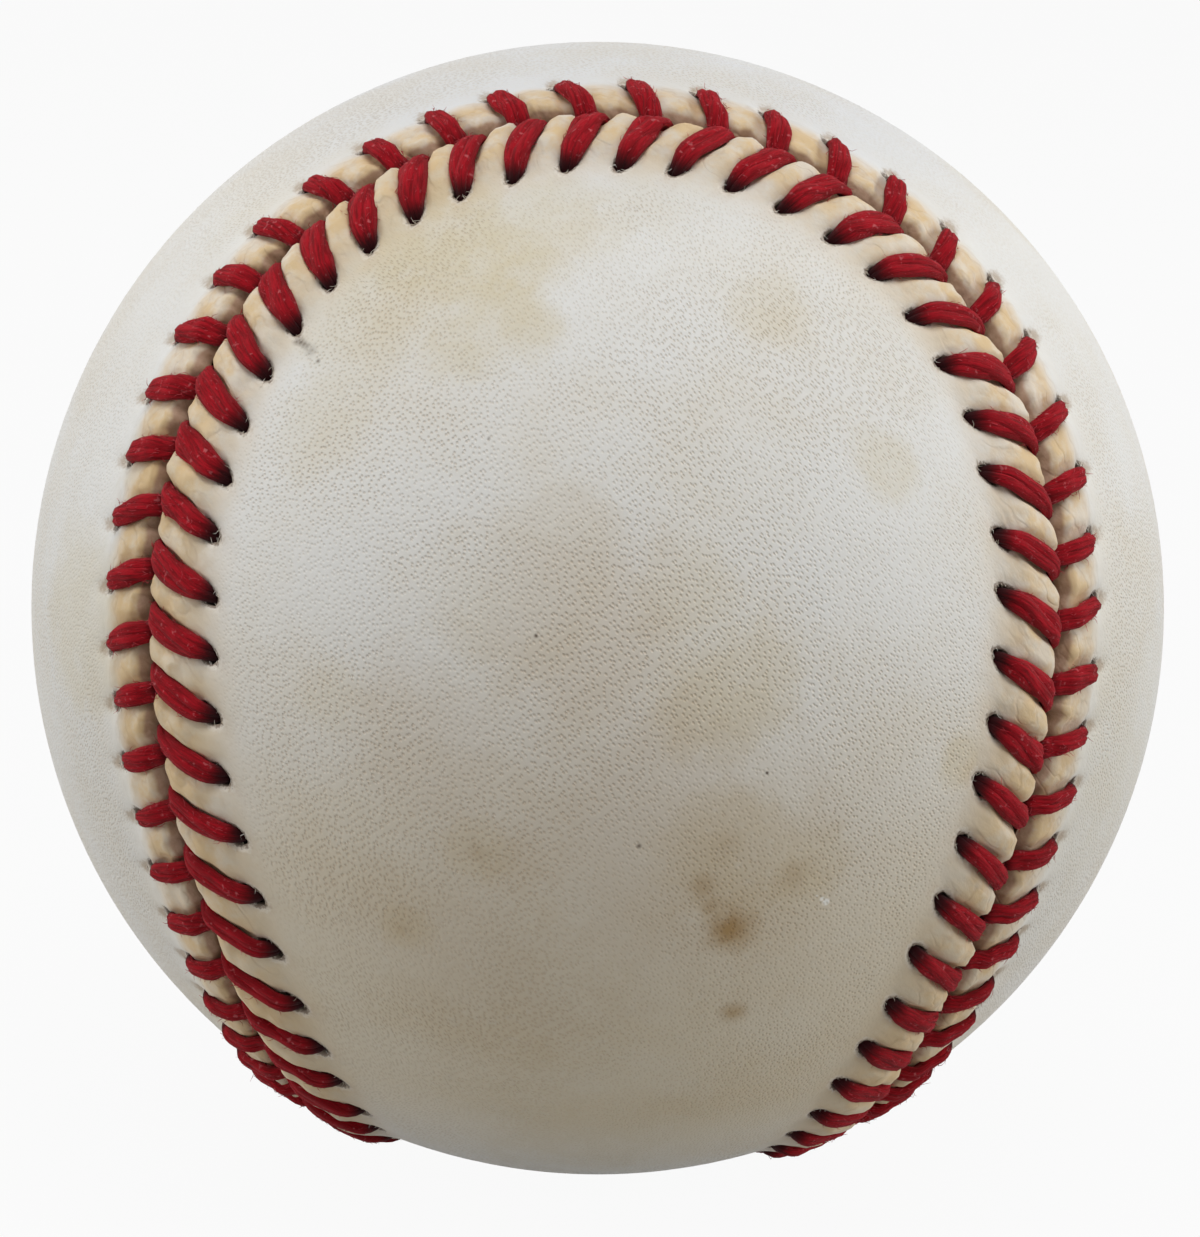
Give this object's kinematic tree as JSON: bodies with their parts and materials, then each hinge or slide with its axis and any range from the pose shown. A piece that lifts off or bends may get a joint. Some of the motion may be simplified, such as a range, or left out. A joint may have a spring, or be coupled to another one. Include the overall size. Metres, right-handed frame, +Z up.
{
  "type": "baseball",
  "caption": "Leather-covered ball with a raised figure-eight seam laced in red thread over wound yarn, rubber layers and a cork core.",
  "frame": {"origin": "centre of the ball", "axes": "+Z up through the middle of the upper cover panel's neck; the upper panel's lobes face +X and -X, the lower panel's lobes face +Y and -Y; the picture looks along +Y from a little above"},
  "size_m": [0.0738, 0.0738, 0.0738],
  "materials": {
    "cover_leather": "matte, fine pores, yellowed along the seam",
    "stitch_thread": "waxed twisted thread",
    "rubber_cement": "dried translucent film",
    "white_yarn": "fine wound poly-cotton yarn",
    "gray_yarn": "wound wool yarn",
    "white_wool": "wound wool yarn",
    "gray_wool": "wound wool yarn",
    "red_rubber": "moulded, matte",
    "black_rubber": "moulded, matte",
    "cork_rubber": "pressed cork and rubber grains"
  },
  "bodies": {
    "root": {"upper_cover_panel": "cover_leather", "lower_cover_panel": "cover_leather", "stitching_thread": "stitch_thread", "cement_film": "rubber_cement", "finishing_winding": "white_yarn", "third_winding": "gray_yarn", "second_winding": "white_wool", "first_winding": "gray_wool", "outer_rubber_layer": "red_rubber", "upper_inner_rubber_shell": "black_rubber", "lower_inner_rubber_shell": "black_rubber", "rubber_washer": "red_rubber", "cork_core": "cork_rubber"}
  },
  "joints": []
}
